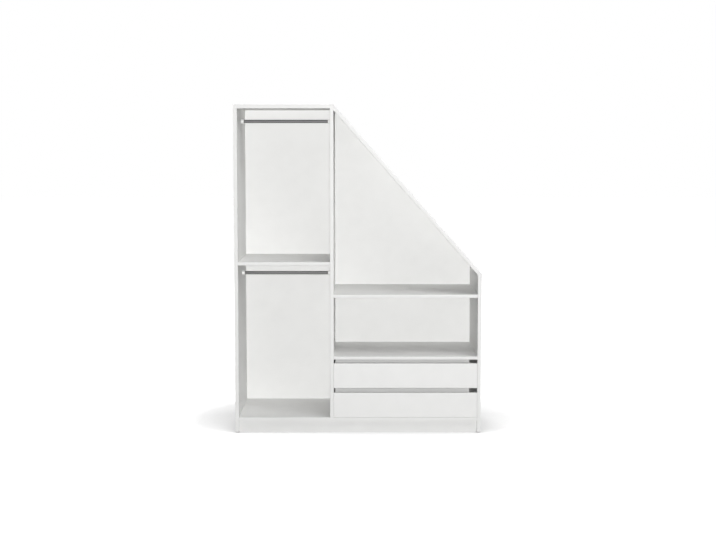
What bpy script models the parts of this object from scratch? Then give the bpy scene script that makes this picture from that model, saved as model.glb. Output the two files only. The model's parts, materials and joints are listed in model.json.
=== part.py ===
"""Under-eaves wardrobe in white board.

A tall open bay with two clothes rails stands beside a low bay that runs out under a sloping panel,
with two shelves and two inset drawers on telescopic ball runners.
Metres, +Z up. The front faces -Y and the origin lies on the floor under the middle of the cabinet.
"""

import math

import bmesh
import bpy
from mathutils import Matrix, Vector

# Overall size
WIDTH = 1.500
HEIGHT = 2.000
DEPTH = 0.580
KNEE_HEIGHT = 0.980
TALL_BAY_WIDTH = 0.558

# Boards
CARCASS_BOARD = 0.022
SHELF_BOARD = 0.019
BACK_BOARD = 0.008
BACK_SETBACK = 0.012
REBATE_WIDTH = 0.010
SHELF_SETBACK = 0.0015
EDGE_RADIUS = 0.0008
EDGE_SEGMENTS = 2
SEAT_GAP = 0.0003

# Foot of the cabinet
PLINTH_HEIGHT = 0.077
PLINTH_RECESS = 0.020
REAR_PLINTH_INSET = 0.050
GLIDE_HEIGHT = 0.008
GLIDE_DIAMETER = 0.018
GLIDE_CHAMFER = 0.0015
GLIDE_INSET = 0.030

# Compartments
UPPER_HANGING_HEIGHT = 0.928
NICHE_HEIGHT = 0.360
FINGER_GAP = 0.029
TOP_FINGER_GAP = 0.0235

# Clothes rails and their sockets
RAIL_DIAMETER = 0.020
RAIL_WALL = 0.0015
RAIL_DROP = 0.075
RAIL_SETBACK = 0.280
SOCKET_WALL = 0.002
SOCKET_LENGTH = 0.017
SOCKET_FLOOR = 0.003
SOCKET_CHAMFER = 0.0006
SCREW_DIAMETER = 0.004
SCREW_HEAD_DIAMETER = 0.008
SCREW_LENGTH = 0.016
SCREW_POINT = 0.003

# Drawers
DRAWER_FRONT_HEIGHT = 0.152
DRAWER_FRONT_FLOOR_GAP = 0.001
DRAWER_FRONT_SIDE_GAP = 0.0008
DRAWER_BOARD = 0.012
DRAWER_SIDE_HEIGHT = 0.058
DRAWER_SIDE_LIFT = 0.008
DRAWER_BOTTOM_BOARD = 0.006
DRAWER_BOTTOM_LIFT = 0.008
DRAWER_GROOVE_DEPTH = 0.006
DRAWER_REAR_CLEARANCE = 0.139

# Telescopic ball runners
RUNNER_HEIGHT = 0.045
RUNNER_WIDTH = 0.0127
RUNNER_WALL = 0.0012
RUNNER_PLAY = 0.0003
OUTER_RACE = 0.0046
INNER_RACE = 0.0040
CAGE_WALL = 0.0006
CAGE_LENGTH = 0.190
CABINET_RUNNER_REACH = 0.0092
RUNNER_FRONT_CLEARANCE = 0.002
MIDDLE_RUNNER_INSET = 0.010

# Sides of a full turn on round pieces
ROUND_STEPS = 24

# Planes that the pieces share
FRONT_Y = -DEPTH / 2
REAR_Y = DEPTH / 2
OUTER_X = WIDTH / 2
INNER_X = OUTER_X - CARCASS_BOARD
DIVIDER_LEFT_X = TALL_BAY_WIDTH - INNER_X
DIVIDER_RIGHT_X = DIVIDER_LEFT_X + CARCASS_BOARD
LOW_BAY_CENTRE_X = (DIVIDER_RIGHT_X + INNER_X) / 2
BACK_REAR_Y = REAR_Y - BACK_SETBACK
BACK_FRONT_Y = BACK_REAR_Y - BACK_BOARD
SHELF_FRONT_Y = FRONT_Y + SHELF_SETBACK
SIDE_FOOT_Z = GLIDE_HEIGHT + SEAT_GAP
BASE_TOP_Z = PLINTH_HEIGHT + SHELF_BOARD
TOP_UNDERSIDE_Z = HEIGHT - CARCASS_BOARD
LEFT_SHELF_TOP_Z = TOP_UNDERSIDE_Z - UPPER_HANGING_HEIGHT
LEFT_SHELF_UNDERSIDE_Z = LEFT_SHELF_TOP_Z - SHELF_BOARD
LOWER_FRONT_Z = BASE_TOP_Z + DRAWER_FRONT_FLOOR_GAP
UPPER_FRONT_Z = LOWER_FRONT_Z + DRAWER_FRONT_HEIGHT + FINGER_GAP
LOWER_SHELF_UNDERSIDE_Z = UPPER_FRONT_Z + DRAWER_FRONT_HEIGHT + TOP_FINGER_GAP
LOWER_SHELF_TOP_Z = LOWER_SHELF_UNDERSIDE_Z + SHELF_BOARD
UPPER_SHELF_UNDERSIDE_Z = LOWER_SHELF_TOP_Z + NICHE_HEIGHT
UPPER_SHELF_TOP_Z = UPPER_SHELF_UNDERSIDE_Z + SHELF_BOARD
RAIL_Y = FRONT_Y + RAIL_SETBACK
UPPER_RAIL_Z = TOP_UNDERSIDE_Z - RAIL_DROP
LOWER_RAIL_Z = LEFT_SHELF_UNDERSIDE_Z - RAIL_DROP
DRAWER_FRONT_REAR_Y = SHELF_FRONT_Y + SHELF_BOARD
DRAWER_BOX_FRONT_Y = DRAWER_FRONT_REAR_Y + SEAT_GAP
DRAWER_BOX_REAR_Y = BACK_FRONT_Y - DRAWER_REAR_CLEARANCE

# The sloping panel falls from the top of the divider to the knee height at the outer right face
SLOPE_FALL = (HEIGHT - KNEE_HEIGHT) / (OUTER_X - DIVIDER_RIGHT_X)
SLOPE_STRETCH = math.hypot(1.0, SLOPE_FALL)

# Finishes as colour, roughness and metallic value
WHITE_BOARD = ((0.81, 0.81, 0.80), 0.45, 0.0)
WHITE_PLASTIC = ((0.85, 0.85, 0.84), 0.35, 0.0)
GREY_STEEL = ((0.20, 0.20, 0.20), 0.40, 0.6)
ZINC_STEEL = ((0.60, 0.62, 0.64), 0.30, 1.0)


def clear_scene():
    for item in list(bpy.data.objects):
        bpy.data.objects.remove(item, do_unlink=True)


def make_material(name, finish):
    colour, roughness, metallic = finish
    material = bpy.data.materials.new(name)
    material.use_nodes = True
    shader = material.node_tree.nodes["Principled BSDF"]
    shader.inputs["Base Color"].default_value = (*colour, 1.0)
    shader.inputs["Roughness"].default_value = roughness
    shader.inputs["Metallic"].default_value = metallic
    return material


def add_object(name, shape, place, finish=None, parent=None):
    """Turns a bmesh into a named object whose origin is the given place."""
    bmesh.ops.recalc_face_normals(shape, faces=shape.faces)
    mesh = bpy.data.meshes.new(name)
    shape.to_mesh(mesh)
    shape.free()
    item = bpy.data.objects.new(name, mesh)
    bpy.context.scene.collection.objects.link(item)
    item.location = place
    if parent:
        item.parent = parent
        item.location = Vector(place) - parent.location
    if finish:
        mesh.materials.append(make_material(name, finish))
    return item


def add_slide(name, z):
    """An empty on the line that a drawer's pieces slide along."""
    slide = bpy.data.objects.new(name, None)
    bpy.context.scene.collection.objects.link(slide)
    slide.location = (LOW_BAY_CENTRE_X, SHELF_FRONT_Y, z)
    return slide


def round_edges(item):
    edges = item.modifiers.new("rounded edges", "BEVEL")
    edges.width = EDGE_RADIUS
    edges.segments = EDGE_SEGMENTS
    edges.limit_method = "ANGLE"


def cut(item, cutter):
    boolean = item.modifiers.new(cutter.name, "BOOLEAN")
    boolean.operation = "DIFFERENCE"
    boolean.solver = "EXACT"
    boolean.object = cutter


def as_cutter(item):
    item.hide_render = True
    item.display_type = "WIRE"
    return item


def board(name, low, high, finish=WHITE_BOARD, parent=None):
    """A square-cut board between two corners, with its arrises eased."""
    size = Vector(high) - Vector(low)
    shape = bmesh.new()
    bmesh.ops.create_cube(shape, size=1.0)
    bmesh.ops.scale(shape, vec=size, verts=shape.verts)
    item = add_object(name, shape, Vector(low) + size / 2, finish, parent)
    round_edges(item)
    return item


def prism(name, outline, front_y, rear_y, finish=None, parent=None):
    """A solid of one outline in X and Z, drawn from front_y to rear_y."""
    place = Vector((outline[0][0], front_y, outline[0][1]))
    shape = bmesh.new()
    corners = [shape.verts.new(Vector((x, front_y, z)) - place) for x, z in outline]
    face = shape.faces.new(corners)
    drawn = bmesh.ops.extrude_face_region(shape, geom=[face])["geom"]
    far_corners = [part for part in drawn if isinstance(part, bmesh.types.BMVert)]
    bmesh.ops.translate(shape, vec=(0.0, rear_y - front_y, 0.0), verts=far_corners)
    return add_object(name, shape, place, finish, parent)


def turned(name, profile, place, heading, finish, closed=True):
    """A round piece: a profile of radius and height turned about an axis that points along heading."""
    shape = bmesh.new()
    points = [shape.verts.new((radius, 0.0, height)) for radius, height in profile]
    edges = [shape.edges.new(pair) for pair in zip(points, points[1:])]
    if closed:
        edges.append(shape.edges.new((points[-1], points[0])))
    bmesh.ops.spin(
        shape,
        geom=points + edges,
        cent=(0.0, 0.0, 0.0),
        axis=(0.0, 0.0, 1.0),
        angle=math.tau,
        steps=ROUND_STEPS,
        use_merge=True,
    )
    bmesh.ops.remove_doubles(shape, verts=shape.verts, dist=0.000001)
    item = add_object(name, shape, place, finish)
    item.rotation_euler = Vector(heading).to_track_quat("Z", "Y").to_euler()
    item.data.shade_smooth()
    item.data.set_sharp_from_angle(angle=math.radians(30.0))
    return item


def slope_z(x, below=0.0):
    """Height of the sloping panel's outer face at x, lowered square to the panel by below."""
    return HEIGHT - (x - DIVIDER_RIGHT_X) * SLOPE_FALL - below * SLOPE_STRETCH


def slope_x(z, below=0.0):
    """The x at which slope_z gives the height z."""
    return DIVIDER_RIGHT_X + (HEIGHT - below * SLOPE_STRETCH - z) / SLOPE_FALL


def back_outline(left, inset):
    """Outline of the recess for the back panels from left to the right-hand rebate, drawn in by inset."""
    right = INNER_X + REBATE_WIDTH - inset
    low = BASE_TOP_Z - REBATE_WIDTH + inset
    top = TOP_UNDERSIDE_Z + REBATE_WIDTH - inset
    below = CARCASS_BOARD - REBATE_WIDTH + inset
    shoulder = slope_x(top, below)
    return [(left, low), (right, low), (right, slope_z(right, below)), (shoulder, top), (left, top)]


def make_upright_boards():
    left = board("left_side_panel", (-OUTER_X, FRONT_Y, SIDE_FOOT_Z), (-INNER_X, REAR_Y, HEIGHT))
    divider = board(
        "centre_divider",
        (DIVIDER_LEFT_X, FRONT_Y, BASE_TOP_Z + SEAT_GAP),
        (DIVIDER_RIGHT_X, REAR_Y, HEIGHT),
    )
    top_below = CARCASS_BOARD + SEAT_GAP
    right_outline = [
        (INNER_X, SIDE_FOOT_Z),
        (OUTER_X, SIDE_FOOT_Z),
        (OUTER_X, slope_z(OUTER_X, top_below)),
        (INNER_X, slope_z(INNER_X, top_below)),
    ]
    right = prism("right_side_panel", right_outline, FRONT_Y, REAR_Y, WHITE_BOARD)
    round_edges(right)
    return left, divider, right


def make_cover_boards():
    top = board(
        "top_panel",
        (-INNER_X + SEAT_GAP, FRONT_Y, TOP_UNDERSIDE_Z),
        (DIVIDER_LEFT_X - SEAT_GAP, REAR_Y, HEIGHT),
    )
    upper_end = DIVIDER_RIGHT_X + SEAT_GAP
    slope_outline = [
        (upper_end, slope_z(upper_end)),
        (OUTER_X, slope_z(OUTER_X)),
        (OUTER_X, slope_z(OUTER_X, CARCASS_BOARD)),
        (upper_end, slope_z(upper_end, CARCASS_BOARD)),
    ]
    slope = prism("slope_panel", slope_outline, FRONT_Y, REAR_Y, WHITE_BOARD)
    round_edges(slope)
    return top, slope


def make_foot():
    reach = INNER_X - SEAT_GAP
    base = board("base_panel", (-reach, FRONT_Y, PLINTH_HEIGHT), (reach, REAR_Y, BASE_TOP_Z))
    plinth_top = PLINTH_HEIGHT - SEAT_GAP
    front_plinth_y = FRONT_Y + PLINTH_RECESS
    rear_plinth_y = REAR_Y - REAR_PLINTH_INSET
    board("front_plinth", (-reach, front_plinth_y, 0.0), (reach, front_plinth_y + SHELF_BOARD, plinth_top))
    board("rear_plinth", (-reach, rear_plinth_y - SHELF_BOARD, 0.0), (reach, rear_plinth_y, plinth_top))
    return base


def make_glides():
    radius = GLIDE_DIAMETER / 2
    profile = [
        (0.0, 0.0),
        (radius - GLIDE_CHAMFER, 0.0),
        (radius, GLIDE_CHAMFER),
        (radius, GLIDE_HEIGHT),
        (0.0, GLIDE_HEIGHT),
    ]
    board_centre = OUTER_X - CARCASS_BOARD / 2
    for end, y in (("front", FRONT_Y + GLIDE_INSET), ("rear", REAR_Y - GLIDE_INSET)):
        for side, x in (("left", -board_centre), ("right", board_centre)):
            name = f"{end}_{side}_glide"
            turned(name, profile, (x, y, 0.0), (0.0, 0.0, 1.0), WHITE_PLASTIC, closed=False)


def make_shelves():
    rear = BACK_FRONT_Y - SEAT_GAP
    board(
        "left_shelf",
        (-INNER_X + SEAT_GAP, SHELF_FRONT_Y, LEFT_SHELF_UNDERSIDE_Z),
        (DIVIDER_LEFT_X - SEAT_GAP, rear, LEFT_SHELF_TOP_Z),
    )
    low_bay_shelves = (
        ("right_lower_shelf", LOWER_SHELF_UNDERSIDE_Z, LOWER_SHELF_TOP_Z),
        ("right_upper_shelf", UPPER_SHELF_UNDERSIDE_Z, UPPER_SHELF_TOP_Z),
    )
    for name, underside, top in low_bay_shelves:
        right_end = min(INNER_X, slope_x(top, CARCASS_BOARD)) - SEAT_GAP
        board(name, (DIVIDER_RIGHT_X + SEAT_GAP, SHELF_FRONT_Y, underside), (right_end, rear, top))


def make_back_panels(framing):
    """Two back panels in one recess that is cut round the rear of the framing boards."""
    recess_outline = back_outline(-INNER_X - REBATE_WIDTH, 0.0)
    clear_of_rear = REAR_Y + CARCASS_BOARD
    recess = as_cutter(prism("back_recess", recess_outline, BACK_FRONT_Y - SEAT_GAP, clear_of_rear))
    for item in framing:
        cut(item, recess)
    meeting_x = (DIVIDER_LEFT_X + DIVIDER_RIGHT_X) / 2
    half_gap = SEAT_GAP / 2
    left_edge = -INNER_X - REBATE_WIDTH + SEAT_GAP
    low = BASE_TOP_Z - REBATE_WIDTH + SEAT_GAP
    top = TOP_UNDERSIDE_Z + REBATE_WIDTH - SEAT_GAP
    board("left_back_panel", (left_edge, BACK_FRONT_Y, low), (meeting_x - half_gap, BACK_REAR_Y, top))
    right_outline = back_outline(meeting_x + half_gap, SEAT_GAP)
    right = prism("right_back_panel", right_outline, BACK_FRONT_Y, BACK_REAR_Y, WHITE_BOARD)
    round_edges(right)


def rail_socket_profile():
    bore = RAIL_DIAMETER / 2 + SEAT_GAP
    outside = bore + SOCKET_WALL
    hole = SCREW_DIAMETER / 2 + SEAT_GAP
    countersink = SCREW_HEAD_DIAMETER / 2 + SEAT_GAP
    return [
        (hole, 0.0),
        (outside, 0.0),
        (outside, SOCKET_LENGTH - SOCKET_CHAMFER),
        (outside - SOCKET_CHAMFER, SOCKET_LENGTH),
        (bore, SOCKET_LENGTH),
        (bore, SOCKET_FLOOR),
        (countersink, SOCKET_FLOOR),
        (hole, SOCKET_FLOOR - (countersink - hole)),
    ]


def rail_screw_profile():
    shank = SCREW_DIAMETER / 2
    head = SCREW_HEAD_DIAMETER / 2
    head_top = SOCKET_FLOOR - SEAT_GAP / 2
    point = head_top - SCREW_LENGTH
    return [
        (0.0, head_top),
        (head, head_top),
        (shank, head_top - (head - shank)),
        (shank, point + SCREW_POINT),
        (0.0, point),
    ]


def make_clothes_rails(left_side, divider):
    """Two tubes, each held at both ends by a socket that is screwed to the board beside it."""
    tube_length = TALL_BAY_WIDTH - 2 * (SEAT_GAP + SOCKET_FLOOR + SEAT_GAP)
    radius = RAIL_DIAMETER / 2
    bore = radius - RAIL_WALL
    tube_profile = [(bore, 0.0), (radius, 0.0), (radius, tube_length), (bore, tube_length)]
    tube_start = -INNER_X + SEAT_GAP + SOCKET_FLOOR + SEAT_GAP
    holes = bmesh.new()
    hole_length = 2 * (SCREW_LENGTH - SOCKET_FLOOR + SEAT_GAP)
    hole_radius = SCREW_DIAMETER / 2 + SEAT_GAP
    lie_along_x = Matrix.Rotation(math.pi / 2, 4, "Y")
    for level, z in (("upper", UPPER_RAIL_Z), ("lower", LOWER_RAIL_Z)):
        turned(f"{level}_clothes_rail", tube_profile, (tube_start, RAIL_Y, z), (1.0, 0.0, 0.0), GREY_STEEL)
        for side, face_x, inwards in (("left", -INNER_X, 1.0), ("right", DIVIDER_LEFT_X, -1.0)):
            place = (face_x + inwards * SEAT_GAP, RAIL_Y, z)
            heading = (inwards, 0.0, 0.0)
            turned(f"{level}_{side}_rail_socket", rail_socket_profile(), place, heading, WHITE_PLASTIC)
            screw_name = f"{level}_{side}_socket_screw"
            turned(screw_name, rail_screw_profile(), place, heading, ZINC_STEEL, closed=False)
            bmesh.ops.create_cone(
                holes,
                cap_ends=True,
                segments=ROUND_STEPS,
                radius1=hole_radius,
                radius2=hole_radius,
                depth=hole_length,
                matrix=Matrix.Translation((face_x, RAIL_Y, z)) @ lie_along_x,
            )
    screw_holes = as_cutter(add_object("rail_screw_holes", holes, (0.0, 0.0, 0.0)))
    cut(left_side, screw_holes)
    cut(divider, screw_holes)


def channel_outline(near, far, half_height, wall, lip):
    """A C section: a web at near, and two flanges of thickness lip that reach to far."""
    web = near + math.copysign(wall, far - near)
    return [
        (near, -half_height),
        (far, -half_height),
        (far, -half_height + lip),
        (web, -half_height + lip),
        (web, half_height - lip),
        (far, half_height - lip),
        (far, half_height),
        (near, half_height),
    ]


def beam_outline(near, far, half_height, web, wall):
    """An I section with flanges from near to far and a web that starts at web."""
    web_far = web + wall
    inside = half_height - wall
    return [
        (near, -half_height),
        (far, -half_height),
        (far, -inside),
        (web_far, -inside),
        (web_far, inside),
        (far, inside),
        (far, half_height),
        (near, half_height),
        (near, inside),
        (web, inside),
        (web, -inside),
        (near, -inside),
    ]


def runner_sections():
    """Nested sections of one runner, measured from the cabinet wall towards the drawer."""
    half_height = RUNNER_HEIGHT / 2
    outer_cage_near = RUNNER_WALL + RUNNER_PLAY
    outer_cage_half = half_height - RUNNER_WALL - RUNNER_PLAY
    outer_ball = OUTER_RACE - 2 * RUNNER_PLAY
    middle_near = outer_cage_near + CAGE_WALL + RUNNER_PLAY
    middle_half = half_height - RUNNER_WALL - OUTER_RACE
    middle_web = RUNNER_WIDTH / 2 - RUNNER_WALL / 2
    inner_cage_near = middle_web + RUNNER_WALL + RUNNER_PLAY
    inner_cage_half = middle_half - RUNNER_WALL - RUNNER_PLAY
    inner_ball = INNER_RACE - 2 * RUNNER_PLAY
    drawer_half = middle_half - RUNNER_WALL - INNER_RACE
    drawer_near = inner_cage_near + CAGE_WALL + RUNNER_PLAY
    drawer_web = RUNNER_WIDTH - RUNNER_WALL
    middle_far = drawer_web - RUNNER_PLAY
    outer_cage_far = CABINET_RUNNER_REACH - RUNNER_PLAY
    inner_cage_far = middle_far - RUNNER_PLAY
    return {
        "cabinet_runner": channel_outline(0.0, CABINET_RUNNER_REACH, half_height, RUNNER_WALL, RUNNER_WALL),
        "outer_ball_cage": channel_outline(
            outer_cage_near, outer_cage_far, outer_cage_half, CAGE_WALL, outer_ball
        ),
        "middle_runner": beam_outline(middle_near, middle_far, middle_half, middle_web, RUNNER_WALL),
        "inner_ball_cage": channel_outline(
            inner_cage_near, inner_cage_far, inner_cage_half, CAGE_WALL, inner_ball
        ),
        "drawer_runner": channel_outline(RUNNER_WIDTH, drawer_near, drawer_half, RUNNER_WALL, RUNNER_WALL),
    }


def make_runners(level, z, slides):
    """A pair of telescopic runners at height z, each piece on its own slide."""
    start = DRAWER_BOX_FRONT_Y + RUNNER_FRONT_CLEARANCE
    end = DRAWER_BOX_REAR_Y
    cage_start = (start + end - CAGE_LENGTH) / 2
    spans = {
        "cabinet_runner": (start, end),
        "outer_ball_cage": (cage_start, cage_start + CAGE_LENGTH),
        "middle_runner": (start + MIDDLE_RUNNER_INSET, end - MIDDLE_RUNNER_INSET),
        "inner_ball_cage": (cage_start, cage_start + CAGE_LENGTH),
        "drawer_runner": (start, end),
    }
    walls = (("left", DIVIDER_RIGHT_X + SEAT_GAP, 1.0), ("right", INNER_X - SEAT_GAP, -1.0))
    for side, wall_x, inwards in walls:
        for piece, section in runner_sections().items():
            outline = [(wall_x + inwards * reach, z + rise) for reach, rise in section]
            front, rear = spans[piece]
            prism(f"{level}_{side}_{piece}", outline, front, rear, ZINC_STEEL, slides.get(piece))


def drawer_side_outline(outer, inwards, low):
    """Section of a drawer side, with the groove that holds the bottom panel in its inner face."""
    inner = outer + inwards * DRAWER_BOARD
    groove = inner - inwards * DRAWER_GROOVE_DEPTH
    groove_low = low + DRAWER_BOTTOM_LIFT - SEAT_GAP
    groove_top = low + DRAWER_BOTTOM_LIFT + DRAWER_BOTTOM_BOARD + SEAT_GAP
    top = low + DRAWER_SIDE_HEIGHT
    return [
        (outer, low),
        (inner, low),
        (inner, groove_low),
        (groove, groove_low),
        (groove, groove_top),
        (inner, groove_top),
        (inner, top),
        (outer, top),
    ]


def make_drawer(level, front_z):
    """An inset front, two grooved sides, a back and a bottom, carried by a pair of runners."""
    side_low = front_z + DRAWER_SIDE_LIFT
    runner_z = side_low + DRAWER_SIDE_HEIGHT / 2
    drawer = add_slide(f"{level}_drawer_slide", runner_z)
    slides = {"drawer_runner": drawer}
    for piece in ("outer_ball_cage", "middle_runner", "inner_ball_cage"):
        slides[piece] = add_slide(f"{level}_{piece}_slide", runner_z)
    make_runners(level, runner_z, slides)
    board(
        f"{level}_drawer_front",
        (DIVIDER_RIGHT_X + DRAWER_FRONT_SIDE_GAP, SHELF_FRONT_Y, front_z),
        (INNER_X - DRAWER_FRONT_SIDE_GAP, DRAWER_FRONT_REAR_Y, front_z + DRAWER_FRONT_HEIGHT),
        parent=drawer,
    )
    wall_offset = SEAT_GAP + RUNNER_WIDTH + SEAT_GAP
    outer_left = DIVIDER_RIGHT_X + wall_offset
    outer_right = INNER_X - wall_offset
    for side, outer, inwards in (("left", outer_left, 1.0), ("right", outer_right, -1.0)):
        outline = drawer_side_outline(outer, inwards, side_low)
        name = f"{level}_drawer_{side}_side"
        prism(name, outline, DRAWER_BOX_FRONT_Y, DRAWER_BOX_REAR_Y, WHITE_BOARD, drawer)
    bottom_z = side_low + DRAWER_BOTTOM_LIFT
    bottom_top = bottom_z + DRAWER_BOTTOM_BOARD
    in_groove = DRAWER_BOARD - DRAWER_GROOVE_DEPTH + SEAT_GAP
    board(
        f"{level}_drawer_bottom",
        (outer_left + in_groove, DRAWER_BOX_FRONT_Y, bottom_z),
        (outer_right - in_groove, DRAWER_BOX_REAR_Y, bottom_top),
        parent=drawer,
    )
    between_sides = DRAWER_BOARD + SEAT_GAP
    board(
        f"{level}_drawer_back",
        (outer_left + between_sides, DRAWER_BOX_REAR_Y - DRAWER_BOARD, bottom_top + SEAT_GAP),
        (outer_right - between_sides, DRAWER_BOX_REAR_Y, side_low + DRAWER_SIDE_HEIGHT),
        parent=drawer,
    )


clear_scene()
left_side, divider, right_side = make_upright_boards()
top_panel, slope_panel = make_cover_boards()
base_panel = make_foot()
make_glides()
make_shelves()
make_clothes_rails(left_side, divider)
make_back_panels((left_side, divider, right_side, top_panel, slope_panel, base_panel))
make_drawer("upper", UPPER_FRONT_Z)
make_drawer("lower", LOWER_FRONT_Z)
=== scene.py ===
"""Looks of the under-eaves wardrobe: finishes, fittings, studio and camera round the CAD frame."""

import json
import math

import bmesh
import bpy
from mathutils import Matrix, Vector
from mathutils.geometry import convex_hull_2d

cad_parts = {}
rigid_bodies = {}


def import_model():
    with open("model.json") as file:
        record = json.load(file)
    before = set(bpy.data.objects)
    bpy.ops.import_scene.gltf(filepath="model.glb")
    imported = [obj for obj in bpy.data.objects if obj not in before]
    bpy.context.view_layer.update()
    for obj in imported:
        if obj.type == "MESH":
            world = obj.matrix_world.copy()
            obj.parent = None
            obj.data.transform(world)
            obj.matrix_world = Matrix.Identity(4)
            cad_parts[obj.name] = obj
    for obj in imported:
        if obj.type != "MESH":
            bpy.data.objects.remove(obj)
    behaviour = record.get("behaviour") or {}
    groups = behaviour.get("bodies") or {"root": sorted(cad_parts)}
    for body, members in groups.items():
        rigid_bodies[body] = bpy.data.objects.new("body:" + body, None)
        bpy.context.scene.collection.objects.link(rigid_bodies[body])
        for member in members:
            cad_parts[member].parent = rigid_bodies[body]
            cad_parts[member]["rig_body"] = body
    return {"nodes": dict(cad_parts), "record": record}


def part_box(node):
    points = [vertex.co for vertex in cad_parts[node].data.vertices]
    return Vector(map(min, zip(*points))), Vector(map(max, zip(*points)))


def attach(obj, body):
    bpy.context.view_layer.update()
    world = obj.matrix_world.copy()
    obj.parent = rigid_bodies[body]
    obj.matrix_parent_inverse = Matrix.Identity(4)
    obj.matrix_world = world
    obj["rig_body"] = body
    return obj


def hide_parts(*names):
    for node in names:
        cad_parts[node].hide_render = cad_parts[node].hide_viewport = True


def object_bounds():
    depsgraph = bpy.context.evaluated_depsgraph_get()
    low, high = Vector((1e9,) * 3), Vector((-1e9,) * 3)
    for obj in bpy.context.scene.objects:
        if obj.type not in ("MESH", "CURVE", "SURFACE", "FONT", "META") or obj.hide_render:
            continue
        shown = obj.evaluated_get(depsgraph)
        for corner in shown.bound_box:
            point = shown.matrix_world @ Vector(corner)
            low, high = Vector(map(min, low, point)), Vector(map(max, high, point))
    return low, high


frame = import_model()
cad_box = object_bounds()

# Camera, in front of the middle and looking slightly down: metres and degrees, the sensor in
# millimetres, the picture's width and the focal length in pixels.
IMAGE_WIDTH = 716
FOCAL_PIXELS = 1240.7
SENSOR_WIDTH = 36.0
CAMERA_DISTANCE = 7.477
CAMERA_HEIGHT = 1.793
CAMERA_TILT = 4.545
CAMERA_SHIFT = -0.045
CAMERA_REACH = 200.0

# Studio light. Softboxes: azimuth and elevation round the object in degrees, distance and size in
# metres, power in watts.
KEY_SIZE = 0.15
KEY_POWER = 385.0
SOFTBOXES = {
    "right_top_light": (28.0, 60.0, 6.0, 3.0, 95.0),
    "right_front_light": (55.0, 40.0, 6.0, 3.0, 80.0),
    "right_rear_light": (104.0, 8.0, 6.0, 3.0, 170.0),
    "left_rear_light": (-104.0, 8.0, 6.0, 3.0, 195.0),
    "rear_light": (-172.0, 35.0, 7.0, 3.0, 300.0),
}
AMBIENT = 0.02

# Floor, in metres. Its glow goes by the share of its open side that the object leaves free within the
# reach, so the dimmed glow beside the object is painted shade: pairs of that share and the glow's
# strength.
FLOOR_SIZE = 60.0
FLOOR_TONE = 0.4
FLOOR_ROUGHNESS = 0.9
FLOOR_GLOW = ((0.0, 0.0), (0.5, 0.23), (0.7, 0.40), (0.9, 0.58), (0.97, 0.68), (1.0, 1.0))
FLOOR_OPEN_SIDE = (0.0, -0.78, 0.62)
FLOOR_SHADE_REACH = 0.45
FLOOR_SHADE_SAMPLES = 16

# Finishes: a dark and a light tone of each.
BOARD_TONES = (0.79, 0.79, 0.78), (0.81, 0.81, 0.80)
# The edge band is toned darker than the board: painted shade against the key's stronger light on the
# front edges.
PAINTED_SHADE_EDGE_TONES = (0.77, 0.77, 0.76), (0.79, 0.79, 0.78)
# The back foil is toned lighter than the board: painted light for the key's weaker light on the back
# panels.
PAINTED_LIGHT_BACK_TONES = (0.85, 0.85, 0.84), (0.87, 0.87, 0.86)
LINEN_TONES = (0.87, 0.87, 0.86), (0.89, 0.89, 0.88)
PLASTIC_TONES = (0.87, 0.87, 0.86), (0.9, 0.9, 0.89)
TUBE_TONES = (0.135, 0.135, 0.132), (0.16, 0.16, 0.157)
ZINC_TONES = (0.55, 0.56, 0.57), (0.68, 0.69, 0.70)
CAGE_TONES = (0.42, 0.41, 0.38), (0.54, 0.52, 0.48)
BOARD_GLOSS = 0.25

# Patterns of the finishes: scale and detail of each noise, heights and pitches in metres.
BOARD_TONE_NOISE = (12.0, 5.0)
LINEN_TONE_NOISE = (300.0, 3.0)
METAL_TONE_NOISE = (400.0, 3.0)
BOARD_GLOSS_NOISE = (60.0, 3.0)
METAL_GLOSS_NOISE = (250.0, 2.0)
METAL_GRAIN_NOISE = (900.0, 2.0)
METAL_GRAIN_HEIGHT = 0.00005
METAL_GRAIN_STRENGTH = 0.3
PEARL_DETAIL = 2.0
EMBOSS_STRENGTH = 0.5
NOISE_LOW = 0.3
NOISE_HIGH = 0.7
RIB_PITCH_AT_SCALE_ONE = 0.314
RIB_DISTORTION = 1.5
NO_STRETCH = (1.0, 1.0, 1.0)
ALONG_X = (0.02, 1.0, 1.0)
ALONG_Y = (1.0, 0.02, 1.0)

# Meshes: steps of a circle and of rounded edges, and lengths too small to keep, in metres.
ROUND_STEPS = 48
BEAD_STEPS = 5
CORNER_STEPS = 3
CORNER_SIDE_SHARE = 0.45
SHARP_ANGLE = 35.0
MERGE_DISTANCE = 1e-6
SLIVER_LENGTH = 1e-5

# Fittings, in metres; shares are of the piece's own radius, length or height.
BAND_THICKNESS = 0.001
RAIL_WALL_SHARE = 0.15
SOCKET_BEAD = 0.0008
SOCKET_FLOOR_SHARE = 0.18
GLIDE_RIM_SHARE = 0.4
GLIDE_DIMPLE_RIM_SHARE = 0.32
GLIDE_DIMPLE_FLOOR_SHARE = 0.25
GLIDE_DIMPLE_HEIGHT_SHARE = 0.8
FLUSH_HEAD_HEIGHT = 0.0002
SCREW_HEAD_RADIUS = 0.0035
SCREW_HEAD_HEIGHT = 0.0016
SCREW_RIM_SHARE = 0.7
SCREW_RECESS_RADIUS = 0.0017
SCREW_DISH_RADIUS_SHARE = 0.3
SCREW_DISH_HEIGHT_SHARE = 0.4
SCREW_CENTRE_HEIGHT_SHARE = 0.35
BACK_SCREW_INSET = 0.005
BACK_SCREW_PITCH = 0.18
CAM_CAP_RADIUS = 0.0085
CAM_CAP_HEIGHT = 0.0012
CAM_CAP_RIM_SHARE = 0.6
CAM_CAP_SIDE_INSET = 0.034
CAM_CAP_FRONT_INSET = 0.060

# Telescopic runners, in metres; the screws' places are shares of a member's length.
RUNNER_SHEET = 0.0012
RUNNER_BEND = 0.0009
RUNNER_SCREW_PLACES = (0.06, 0.5, 0.94)
CAGE_SHEET = 0.0006
CAGE_BEND = 0.0003
BALLS_IN_ROW = 12
BALL_PLAY = 0.0001
BALL_STEPS = 12
BALL_RINGS = 8

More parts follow.
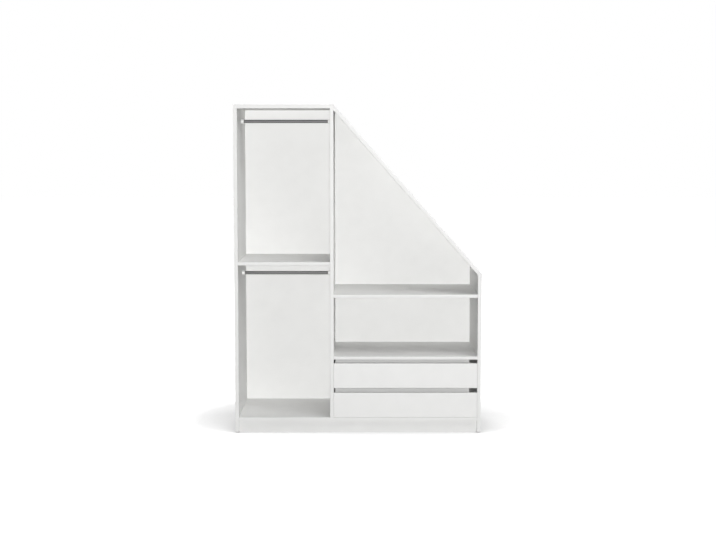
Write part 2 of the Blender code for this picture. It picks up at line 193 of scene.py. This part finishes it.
FRONT = Vector((0.0, -1.0, 0.0))
REAR = Vector((0.0, 1.0, 0.0))
RIGHT = Vector((1.0, 0.0, 0.0))
UP = Vector((0.0, 0.0, 1.0))
DOWN = Vector((0.0, 0.0, -1.0))

front_y = cad_box[0].y
middle = (cad_box[0] + cad_box[1]) / 2
finishes = {row["node"]: row["material_slot"] for row in frame["record"]["subparts"]}


def new_material(name):
    material = bpy.data.materials.new(name)
    material.use_nodes = True
    tree = material.node_tree
    return material, tree, tree.nodes["Principled BSDF"]


def add_noise(tree, scale, detail, stretch=NO_STRETCH):
    """Noise laid over a piece in metres, drawn out along an axis where stretch is below one."""
    place = tree.nodes.new("ShaderNodeTexCoord")
    mapping = tree.nodes.new("ShaderNodeMapping")
    mapping.inputs["Scale"].default_value = stretch
    noise = tree.nodes.new("ShaderNodeTexNoise")
    noise.inputs["Scale"].default_value = scale
    noise.inputs["Detail"].default_value = detail
    tree.links.new(place.outputs["Object"], mapping.inputs["Vector"])
    tree.links.new(mapping.outputs["Vector"], noise.inputs["Vector"])
    return noise.outputs["Fac"]


def add_weave(tree, pitch):
    """Two crossed ribs, as on embossed linen foil."""
    place = tree.nodes.new("ShaderNodeTexCoord")
    ribs = []
    for direction in ("Y", "Z"):
        wave = tree.nodes.new("ShaderNodeTexWave")
        wave.bands_direction = direction
        wave.inputs["Scale"].default_value = RIB_PITCH_AT_SCALE_ONE / pitch
        wave.inputs["Distortion"].default_value = RIB_DISTORTION
        tree.links.new(place.outputs["Object"], wave.inputs["Vector"])
        ribs.append(wave.outputs["Fac"])
    crossed = tree.nodes.new("ShaderNodeMath")
    crossed.operation = "MAXIMUM"
    tree.links.new(ribs[0], crossed.inputs[0])
    tree.links.new(ribs[1], crossed.inputs[1])
    return crossed.outputs["Value"]


def vary_colour(tree, shader, value, tones):
    """Colour between a dark and a light tone, as value goes from low to high."""
    ramp = tree.nodes.new("ShaderNodeValToRGB")
    for stop, position, tone in zip(ramp.color_ramp.elements, (NOISE_LOW, NOISE_HIGH), tones):
        stop.position = position
        stop.color = (*tone, 1.0)
    tree.links.new(value, ramp.inputs["Fac"])
    tree.links.new(ramp.outputs["Color"], shader.inputs["Base Color"])


def vary_roughness(tree, shader, value, smooth, rough):
    """Roughness between smooth and rough, as value goes from low to high."""
    spread = tree.nodes.new("ShaderNodeMapRange")
    spread.inputs["From Min"].default_value = NOISE_LOW
    spread.inputs["From Max"].default_value = NOISE_HIGH
    spread.inputs["To Min"].default_value = smooth
    spread.inputs["To Max"].default_value = rough
    tree.links.new(value, spread.inputs["Value"])
    tree.links.new(spread.outputs["Result"], shader.inputs["Roughness"])


def raise_bump(tree, shader, value, height, strength=EMBOSS_STRENGTH):
    bump = tree.nodes.new("ShaderNodeBump")
    bump.inputs["Strength"].default_value = strength
    bump.inputs["Distance"].default_value = height
    tree.links.new(value, bump.inputs["Height"])
    tree.links.new(bump.outputs["Normal"], shader.inputs["Normal"])


def board_material(name, tones, smooth, rough, pearl_scale, pearl_height):
    """Melamine, foil or moulded plastic: slight change of tone and gloss over a fine pearl emboss."""
    material, tree, shader = new_material(name)
    shader.inputs["Specular IOR Level"].default_value = BOARD_GLOSS
    vary_colour(tree, shader, add_noise(tree, *BOARD_TONE_NOISE), tones)
    vary_roughness(tree, shader, add_noise(tree, *BOARD_GLOSS_NOISE), smooth, rough)
    raise_bump(tree, shader, add_noise(tree, pearl_scale, PEARL_DETAIL), pearl_height)
    return material


def linen_material(name, tones, smooth, rough, pitch, height):
    """Drawer foil with a woven emboss."""
    material, tree, shader = new_material(name)
    vary_colour(tree, shader, add_noise(tree, *LINEN_TONE_NOISE), tones)
    vary_roughness(tree, shader, add_noise(tree, *BOARD_GLOSS_NOISE), smooth, rough)
    raise_bump(tree, shader, add_weave(tree, pitch), height)
    return material


def metal_material(name, tones, smooth, rough, metallic, stretch):
    """Drawn or rolled metal: tone and gloss run in streaks along its length."""
    material, tree, shader = new_material(name)
    shader.inputs["Metallic"].default_value = metallic
    vary_colour(tree, shader, add_noise(tree, *METAL_TONE_NOISE, stretch), tones)
    vary_roughness(tree, shader, add_noise(tree, *METAL_GLOSS_NOISE, stretch), smooth, rough)
    grain = add_noise(tree, *METAL_GRAIN_NOISE, stretch)
    raise_bump(tree, shader, grain, METAL_GRAIN_HEIGHT, METAL_GRAIN_STRENGTH)
    return material


materials = {
    "white_board": board_material(
        "white_melamine", BOARD_TONES, smooth=0.55, rough=0.65, pearl_scale=900.0, pearl_height=0.00012
    ),
    # The edge band's darker tone is painted shade, against the key's stronger light on the front edges.
    "edge_band": board_material(
        "white_edge_band_painted_shade", PAINTED_SHADE_EDGE_TONES, smooth=0.6, rough=0.68, pearl_scale=1800.0, pearl_height=0.00006
    ),
    # The back foil's lighter tone is painted light, for the key's weaker light on the back panels.
    "back_board": board_material(
        "white_back_foil_painted_light", PAINTED_LIGHT_BACK_TONES, smooth=0.58, rough=0.68, pearl_scale=700.0, pearl_height=0.0001
    ),
    "drawer_board": linen_material(
        "white_linen_foil", LINEN_TONES, smooth=0.55, rough=0.65, pitch=0.0012, height=0.0001
    ),
    "white_plastic": board_material(
        "moulded_white_plastic",
        PLASTIC_TONES,
        smooth=0.32,
        rough=0.4,
        pearl_scale=1600.0,
        pearl_height=0.00005,
    ),
    "grey_tube": metal_material(
        "satin_grey_tube", TUBE_TONES, smooth=0.45, rough=0.55, metallic=0.3, stretch=ALONG_X
    ),
    "zinc_steel": metal_material(
        "bright_zinc", ZINC_TONES, smooth=0.25, rough=0.4, metallic=1.0, stretch=ALONG_Y
    ),
    "cage_steel": metal_material(
        "ball_cage_steel", CAGE_TONES, smooth=0.3, rough=0.45, metallic=1.0, stretch=ALONG_Y
    ),
}


def dress_nodes():
    """Gives every CAD node the finish that the record names for it."""
    for name, node in frame["nodes"].items():
        for holder in node.material_slots:
            holder.material = materials[finishes[name]]


def body_of(node):
    return frame["nodes"][node]["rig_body"]


def add_piece(name, shape, slot, body, stands_for=(), smooth=True):
    """Turns a bmesh into a piece that rides on a body, smooth except at its sharp edges."""
    mesh = bpy.data.meshes.new(name)
    bmesh.ops.recalc_face_normals(shape, faces=shape.faces)
    shape.to_mesh(mesh)
    shape.free()
    loaded_normals = mesh.attributes.get("custom_normal")
    if loaded_normals:
        mesh.attributes.remove(loaded_normals)
    if smooth:
        mesh.set_sharp_from_angle(angle=math.radians(SHARP_ANGLE))
    else:
        mesh.polygons.foreach_set("use_smooth", [False] * len(mesh.polygons))
    mesh.materials.append(materials[slot])
    piece = bpy.data.objects.new(name, mesh)
    bpy.context.scene.collection.objects.link(piece)
    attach(piece, body)
    if stands_for:
        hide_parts(*stands_for)
    return piece


def aim(place, heading):
    """Places a turned shape: its own Z runs along heading, from place."""
    return Matrix.Translation(place) @ heading.to_track_quat("Z", "Y").to_matrix().to_4x4()


def add_turned(shape, profile, place, heading, closed=False, steps=ROUND_STEPS):
    """Spins (radius, height) points about an axis.

    A closed profile makes a ring. An open one starts and ends on the axis and makes a solid.
    """
    where = aim(place, heading)
    angles = [2 * math.pi * step / steps for step in range(steps)]
    rings = []
    for radius, height in profile:
        if radius < MERGE_DISTANCE:
            points = [Vector((0.0, 0.0, height))]
        else:
            points = [Vector((radius * math.cos(a), radius * math.sin(a), height)) for a in angles]
        rings.append([shape.verts.new(where @ point) for point in points])
    pairs = list(zip(rings, rings[1:]))
    if closed:
        pairs.append((rings[-1], rings[0]))
    for lower, upper in pairs:
        for step in range(steps):
            after = (step + 1) % steps
            if len(lower) == 1:
                shape.faces.new((lower[0], upper[after], upper[step]))
            elif len(upper) == 1:
                shape.faces.new((lower[step], lower[after], upper[0]))
            else:
                shape.faces.new((lower[step], lower[after], upper[after], upper[step]))


def bead(radius, height, size):
    """Quarter-round edge points from the outside of a turned profile to its end face."""
    points = []
    for step in range(BEAD_STEPS + 1):
        angle = math.pi / 2 * step / BEAD_STEPS
        across = radius - size + size * math.cos(angle)
        points.append((across, height - size + size * math.sin(angle)))
    return points


def soften(outline, radius):
    """Rounds each corner of a closed outline; points are 2-D vectors."""
    soft = []
    for index, corner in enumerate(outline):
        before = outline[index - 1] - corner
        after = outline[(index + 1) % len(outline)] - corner
        reach = min(radius, CORNER_SIDE_SHARE * before.length, CORNER_SIDE_SHARE * after.length)
        start = corner + before.normalized() * reach
        end = corner + after.normalized() * reach
        for step in range(CORNER_STEPS + 1):
            share = step / CORNER_STEPS
            rest = 1 - share
            soft.append(rest**2 * start + 2 * share * rest * corner + share**2 * end)
    return soft


def add_prism(shape, outline, front, rear):
    """Draws a closed X and Z outline out along Y."""
    loops = [[shape.verts.new((p.x, y, p.y)) for p in outline] for y in (front, rear)]
    shape.faces.new(loops[0])
    shape.faces.new(reversed(loops[1]))
    for index in range(len(outline)):
        after = (index + 1) % len(outline)
        shape.faces.new((loops[0][after], loops[0][index], loops[1][index], loops[1][after]))


def band_board(node, cuts):
    """A board with glued edge bands: a hairline joint at each cut, and the band's finish beyond it,
    toned darker as painted shade.
    """
    shape = bmesh.new()
    shape.from_mesh(frame["nodes"][node].data)
    bmesh.ops.remove_doubles(shape, verts=shape.verts, dist=MERGE_DISTANCE)
    for point, outwards in cuts:
        everything = [*shape.verts, *shape.edges, *shape.faces]
        bmesh.ops.bisect_plane(shape, geom=everything, plane_co=point, plane_no=outwards)
    bmesh.ops.dissolve_degenerate(shape, edges=shape.edges, dist=SLIVER_LENGTH)
    for face in shape.faces:
        centre = face.calc_center_median()
        beyond = any((centre - point).dot(outwards) > 0.0 for point, outwards in cuts)
        face.material_index = int(beyond)
    name = f"{node}_banded"
    piece = add_piece(name, shape, finishes[node], body_of(node), [node], smooth=False)
    piece.data.materials.append(materials["edge_band"])


def band_boards():
    """Front edges of the cabinet's boards, and all four edges of the drawer fronts."""
    for node in (
        "left_side_panel",
        "centre_divider",
        "right_side_panel",
        "top_panel",
        "slope_panel",
        "base_panel",
        "left_shelf",
        "right_upper_shelf",
        "right_lower_shelf",
    ):
        low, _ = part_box(node)
        band_board(node, [(low + BAND_THICKNESS * REAR, FRONT)])
    for node in ("upper_drawer_front", "lower_drawer_front"):
        low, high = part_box(node)
        cuts = []
        for outwards in (RIGHT, UP):
            cuts.append((high - BAND_THICKNESS * outwards, outwards))
            cuts.append((low + BAND_THICKNESS * outwards, -outwards))
        band_board(node, cuts)


def make_rails():
    """Smooth tubes and beaded sockets in place of the faceted ones."""
    for level in ("upper", "lower"):
        node = f"{level}_clothes_rail"
        low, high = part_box(node)
        radius = (high.z - low.z) / 2
        length = high.x - low.x
        bore = radius - RAIL_WALL_SHARE * radius
        axis = Vector((low.x, (low.y + high.y) / 2, (low.z + high.z) / 2))
        shape = bmesh.new()
        profile = [(bore, 0.0), (radius, 0.0), (radius, length), (bore, length)]
        add_turned(shape, profile, axis, RIGHT, closed=True)
        add_piece(f"{node}_tube", shape, "grey_tube", body_of(node), [node])
        for side, inwards in (("left", RIGHT), ("right", -RIGHT)):
            make_socket(f"{level}_{side}_rail_socket", axis, inwards, radius)


def make_socket(node, axis, inwards, rail_radius):
    """A cup on the board for one end of a rail, with a screw hole in its floor."""
    low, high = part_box(node)
    outside = (high.z - low.z) / 2
    length = high.x - low.x
    floor = SOCKET_FLOOR_SHARE * length
    bore = (outside + rail_radius) / 2
    foot = low.x if inwards.x > 0 else high.x
    place = Vector((foot, axis.y, axis.z))
    hole = SCREW_RECESS_RADIUS
    profile = [(hole, 0.0), (outside - SOCKET_BEAD, 0.0), (outside, SOCKET_BEAD)]
    profile += bead(outside, length, SOCKET_BEAD)
    profile += [(bore, length - SOCKET_BEAD), (bore, floor), (hole, floor)]
    shape = bmesh.new()
    add_turned(shape, profile, place, inwards, closed=True)
    add_piece(f"{node}_moulding", shape, "white_plastic", body_of(node), [node])


def make_glides():
    """Nylon glides with a rounded rim and a nail dimple underneath."""
    for node in sorted(name for name in frame["nodes"] if name.endswith("_glide")):
        low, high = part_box(node)
        radius = (high.x - low.x) / 2
        height = high.z - low.z
        dimple = GLIDE_DIMPLE_HEIGHT_SHARE * height
        place = Vector(((low.x + high.x) / 2, (low.y + high.y) / 2, high.z))
        profile = [(0.0, 0.0), (radius, 0.0)]
        profile += bead(radius, height, GLIDE_RIM_SHARE * height)
        profile.append((GLIDE_DIMPLE_RIM_SHARE * radius, height))
        profile += [(GLIDE_DIMPLE_FLOOR_SHARE * radius, dimple), (0.0, dimple)]
        shape = bmesh.new()
        add_turned(shape, profile, place, DOWN)
        add_piece(f"{node}_moulding", shape, finishes[node], body_of(node), [node])


def add_screw(shape, place, heading, height=SCREW_HEAD_HEIGHT):
    """A screw's head that stands on place, with a dished drive."""
    dish = SCREW_DISH_RADIUS_SHARE * SCREW_RECESS_RADIUS
    profile = [(0.0, 0.0), (SCREW_HEAD_RADIUS, 0.0)]
    profile += bead(SCREW_HEAD_RADIUS, height, SCREW_RIM_SHARE * height)
    profile.append((SCREW_RECESS_RADIUS, height))
    profile.append((dish, SCREW_DISH_HEIGHT_SHARE * height))
    profile.append((0.0, SCREW_CENTRE_HEIGHT_SHARE * height))
    add_turned(shape, profile, place, heading)


def spaced(start, end, pitch):
    """Points from start to end, evenly spaced at about pitch."""
    count = max(1, round((end - start).length / pitch))
    return [start.lerp(end, step / count) for step in range(count + 1)]


def inset_corners(outline, inset):
    """Corners of a convex outline drawn in by inset.

    Edges shorter than the pitch of the screws, such as those of a rounded corner, are passed over.
    """
    lines = []
    for start, end in zip(outline, outline[1:] + outline[:1]):
        along = end - start
        if along.length > BACK_SCREW_PITCH:
            along.normalize()
            lines.append((start + inset * Vector((-along.y, along.x)), along))
    corners = []
    for (start, along), (next_start, next_along) in zip(lines, lines[1:] + lines[:1]):
        share = (next_start - start).cross(next_along) / along.cross(next_along)
        corners.append(start + share * along)
    return corners


def make_back_screws():
    """Screws round each back panel, and a row into the rear edge of each shelf."""
    shelves = {
        "left_back_panel": ("left_shelf",),
        "right_back_panel": ("right_upper_shelf", "right_lower_shelf"),
    }
    for panel, carried in shelves.items():
        _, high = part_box(panel)
        flat = [Vector((v.co.x, v.co.z)) for v in frame["nodes"][panel].data.vertices]
        corners = inset_corners([flat[index] for index in convex_hull_2d(flat)], BACK_SCREW_INSET)
        places = []
        for start, end in zip(corners, corners[1:] + corners[:1]):
            places += spaced(start, end, BACK_SCREW_PITCH)[:-1]
        for shelf in carried:
            shelf_low, shelf_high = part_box(shelf)
            z = (shelf_low.z + shelf_high.z) / 2
            row = spaced(Vector((shelf_low.x, z)), Vector((shelf_high.x, z)), BACK_SCREW_PITCH)
            places += row[1:-1]
        shape = bmesh.new()
        for place in places:
            add_screw(shape, Vector((place.x, high.y, place.y)), REAR)
        add_piece(f"{panel}_screws", shape, "zinc_steel", body_of(panel))


def make_cam_caps():
    """Caps over the cam fittings, on the underside of each board that stands between two uprights."""
    profile = [(0.0, 0.0), (CAM_CAP_RADIUS, 0.0)]
    profile += bead(CAM_CAP_RADIUS, CAM_CAP_HEIGHT, CAM_CAP_RIM_SHARE * CAM_CAP_HEIGHT)
    profile.append((0.0, CAM_CAP_HEIGHT))
    for node in ("left_shelf", "right_upper_shelf", "right_lower_shelf", "base_panel"):
        low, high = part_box(node)
        shape = bmesh.new()
        for x in (low.x + CAM_CAP_SIDE_INSET, high.x - CAM_CAP_SIDE_INSET):
            for y in (low.y + CAM_CAP_FRONT_INSET, high.y - CAM_CAP_FRONT_INSET):
                add_turned(shape, profile, Vector((x, y, low.z)), DOWN)
        add_piece(f"{node}_cam_caps", shape, "white_plastic", body_of(node))


def channel(near, far, half_height, sheet):
    """A C section, measured outwards from the wall: a web at near, and two flanges out to far."""
    inside = half_height - sheet
    web = near + math.copysign(sheet, far - near)
    points = [
        (near, -half_height),
        (far, -half_height),
        (far, -inside),
        (web, -inside),
        (web, inside),
        (far, inside),
        (far, half_height),
        (near, half_height),
    ]
    return [Vector(point) for point in points]


def beam(near, far, half_height, web, sheet):
    """Two flanges from near to far, joined by a web that starts at web."""
    inside = half_height - sheet
    points = [
        (near, -half_height),
        (far, -half_height),
        (far, -inside),
        (web + sheet, -inside),
        (web + sheet, inside),
        (far, inside),
        (far, half_height),
        (near, half_height),
        (near, inside),
        (web, inside),
        (web, -inside),
        (near, -inside),
    ]
    return [Vector(point) for point in points]


def add_ball(shape, centre, radius):
    """A ball, as a half circle turned about an upright axis."""
    angles = [math.pi * step / BALL_RINGS for step in range(BALL_RINGS + 1)]
    profile = [(radius * math.sin(angle), -radius * math.cos(angle)) for angle in angles]
    add_turned(shape, profile, centre, UP, steps=BALL_STEPS)


def make_runners():
    for level in ("upper", "lower"):
        for side, inwards in (("left", 1.0), ("right", -1.0)):
            make_runner(f"{level}_{side}", inwards)


def make_runner(runner, inwards):
    """One telescopic runner: three rolled members, and two ball cages with their balls between them."""
    cabinet, outer_cage, middle_member, inner_cage, drawer = (
        "cabinet_runner",
        "outer_ball_cage",
        "middle_runner",
        "inner_ball_cage",
        "drawer_runner",
    )
    members = (cabinet, outer_cage, middle_member, inner_cage, drawer)
    boxes = {member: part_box(f"{runner}_{member}") for member in members}
    wall_low, wall_high = boxes[cabinet]
    wall_x = wall_low.x if inwards > 0 else wall_high.x
    axis_z = (wall_low.z + wall_high.z) / 2
    half = {member: (high.z - low.z) / 2 for member, (low, high) in boxes.items()}
    reach = {}
    for member, (low, high) in boxes.items():
        reach[member] = sorted(abs(x - wall_x) for x in (low.x, high.x))
    drawer_near, drawer_far = reach[drawer]
    middle_web = (drawer_far - RUNNER_SHEET) / 2
    sections = {
        cabinet: channel(*reach[cabinet], half[cabinet], RUNNER_SHEET),
        middle_member: beam(*reach[middle_member], half[middle_member], middle_web, RUNNER_SHEET),
        drawer: channel(drawer_far, drawer_near, half[drawer], RUNNER_SHEET),
    }
    races = {outer_cage: (cabinet, middle_member), inner_cage: (middle_member, drawer)}
    ball_height = {}
    ball_radius = {}
    for cage, (outside, inside) in races.items():
        race_top = half[outside] - RUNNER_SHEET
        ball_height[cage] = (race_top + half[inside]) / 2
        ball_radius[cage] = (race_top - half[inside]) / 2 - BALL_PLAY
        sections[cage] = channel(*reach[cage], ball_height[cage] + CAGE_SHEET / 2, CAGE_SHEET)

    for member, section in sections.items():
        node = f"{runner}_{member}"
        low, high = boxes[member]
        bend = CAGE_BEND if member in races else RUNNER_BEND
        outline = [Vector((wall_x + inwards * p.x, axis_z + p.y)) for p in soften(section, bend)]
        shape = bmesh.new()
        add_prism(shape, outline, low.y, high.y)
        if member in races:
            ball_x = wall_x + inwards * sum(reach[member]) / 2
            for step in range(BALLS_IN_ROW):
                y = low.y + (high.y - low.y) * (step + 0.5) / BALLS_IN_ROW
                for z in (axis_z - ball_height[member], axis_z + ball_height[member]):
                    add_ball(shape, Vector((ball_x, y, z)), ball_radius[member])
        add_piece(f"{node}_rolled", shape, finishes[node], body_of(node), [node])

    for member, web, heading, height in (
        (cabinet, RUNNER_SHEET, inwards, FLUSH_HEAD_HEIGHT),
        (drawer, drawer_far - RUNNER_SHEET, -inwards, SCREW_HEAD_HEIGHT),
    ):
        node = f"{runner}_{member}"
        low, high = boxes[member]
        shape = bmesh.new()
        for share in RUNNER_SCREW_PLACES:
            place = Vector((wall_x + inwards * web, low.y + share * (high.y - low.y), axis_z))
            add_screw(shape, place, heading * RIGHT, height)
        add_piece(f"{node}_screws", shape, "zinc_steel", body_of(node))


def make_camera():
    camera = bpy.data.cameras.new("photo_camera")
    camera.sensor_width = SENSOR_WIDTH
    camera.lens = SENSOR_WIDTH * FOCAL_PIXELS / IMAGE_WIDTH
    camera.shift_y = CAMERA_SHIFT
    camera.clip_end = CAMERA_REACH
    holder = bpy.data.objects.new("photo_camera", camera)
    bpy.context.scene.collection.objects.link(holder)
    holder.location = (0.0, front_y - CAMERA_DISTANCE, CAMERA_HEIGHT)
    holder.rotation_euler = (math.radians(90.0 - CAMERA_TILT), 0.0, 0.0)
    bpy.context.scene.camera = holder
    return holder


def add_area_light(name, place, size, power):
    """A round lamp at place that faces the object's middle and does not show itself."""
    lamp = bpy.data.lights.new(name, "AREA")
    lamp.shape = "DISK"
    lamp.size = size
    lamp.energy = power
    holder = bpy.data.objects.new(name, lamp)
    bpy.context.scene.collection.objects.link(holder)
    holder.location = place
    holder.rotation_euler = (middle - place).to_track_quat("-Z", "Y").to_euler()
    holder.visible_camera = False


def round_the_object(azimuth, elevation, distance):
    """A point round the object's middle; azimuth 0 is in front and 90 to the right, in degrees."""
    turn = math.radians(azimuth)
    rise = math.radians(elevation)
    level = math.cos(rise)
    heading = Vector((math.sin(turn) * level, -math.cos(turn) * level, math.sin(rise)))
    return middle + distance * heading


def make_lights(camera):
    """A small key at the camera, two softboxes that shade the inside, and three for sides and back."""
    add_area_light("key_light", camera.location, KEY_SIZE, KEY_POWER)
    for name, (azimuth, elevation, distance, size, power) in SOFTBOXES.items():
        add_area_light(name, round_the_object(azimuth, elevation, distance), size, power)


def seen_or_mirrored(tree):
    """One where a surface is seen directly, mirrored or through glass, and zero for its light."""
    path = tree.nodes.new("ShaderNodeLightPath")
    value = path.outputs["Is Camera Ray"]
    for ray in ("Is Glossy Ray", "Is Transmission Ray"):
        either = tree.nodes.new("ShaderNodeMath")
        either.operation = "MAXIMUM"
        tree.links.new(value, either.inputs[0])
        tree.links.new(path.outputs[ray], either.inputs[1])
        value = either.outputs["Value"]
    return value


def make_world():
    """Soft light from all round that looks white where it is seen directly or mirrored."""
    world = bpy.data.worlds.new("studio")
    world.use_nodes = True
    bpy.context.scene.world = world
    tree = world.node_tree
    background = tree.nodes["Background"]
    background.inputs["Color"].default_value = (1.0, 1.0, 1.0, 1.0)
    strength = tree.nodes.new("ShaderNodeMapRange")
    strength.inputs["To Min"].default_value = AMBIENT
    strength.inputs["To Max"].default_value = 1.0
    tree.links.new(seen_or_mirrored(tree), strength.inputs["Value"])
    tree.links.new(strength.outputs["Result"], background.inputs["Strength"])


def add_painted_shade_glow(tree):
    """The floor's glow: full in the open, and weaker where the object covers the floor's open side, a
    painted shade beside the object.
    """
    shade = tree.nodes.new("ShaderNodeAmbientOcclusion")
    shade.samples = FLOOR_SHADE_SAMPLES
    shade.inputs["Distance"].default_value = FLOOR_SHADE_REACH
    open_side = tree.nodes.new("ShaderNodeCombineXYZ")
    for axis, part in zip("XYZ", Vector(FLOOR_OPEN_SIDE).normalized()):
        open_side.inputs[axis].default_value = part
    tree.links.new(open_side.outputs["Vector"], shade.inputs["Normal"])
    fade = tree.nodes.new("ShaderNodeValToRGB")
    stops = fade.color_ramp.elements
    for share, _ in FLOOR_GLOW[1:-1]:
        stops.new(share)
    for stop, (_, level) in zip(stops, FLOOR_GLOW):
        stop.color = (level, level, level, 1.0)
    tree.links.new(shade.outputs["AO"], fade.inputs["Fac"])
    return fade.outputs["Color"]


def make_floor():
    """A pale floor that reads as white. Beside the object it keeps the lamps' shadow, deepened by
    painted shade in its glow.
    """
    shape = bmesh.new()
    bmesh.ops.create_grid(shape, x_segments=1, y_segments=1, size=FLOOR_SIZE / 2)
    mesh = bpy.data.meshes.new("floor")
    shape.to_mesh(mesh)
    shape.free()
    floor = bpy.data.objects.new("floor", mesh)
    bpy.context.scene.collection.objects.link(floor)
    material, tree, shader = new_material("pale_floor")
    shader.inputs["Base Color"].default_value = (FLOOR_TONE, FLOOR_TONE, FLOOR_TONE, 1.0)
    shader.inputs["Roughness"].default_value = FLOOR_ROUGHNESS
    shader.inputs["Specular IOR Level"].default_value = 0.0
    shader.inputs["Emission Color"].default_value = (1.0, 1.0, 1.0, 1.0)
    glow = tree.nodes.new("ShaderNodeMath")
    glow.operation = "MULTIPLY"
    tree.links.new(seen_or_mirrored(tree), glow.inputs[0])
    tree.links.new(add_painted_shade_glow(tree), glow.inputs[1])
    tree.links.new(glow.outputs["Value"], shader.inputs["Emission Strength"])
    mesh.materials.append(material)


bpy.context.scene.view_settings.view_transform = "Standard"
dress_nodes()
band_boards()
make_rails()
make_glides()
make_back_screws()
make_cam_caps()
make_runners()
make_lights(make_camera())
make_world()
make_floor()
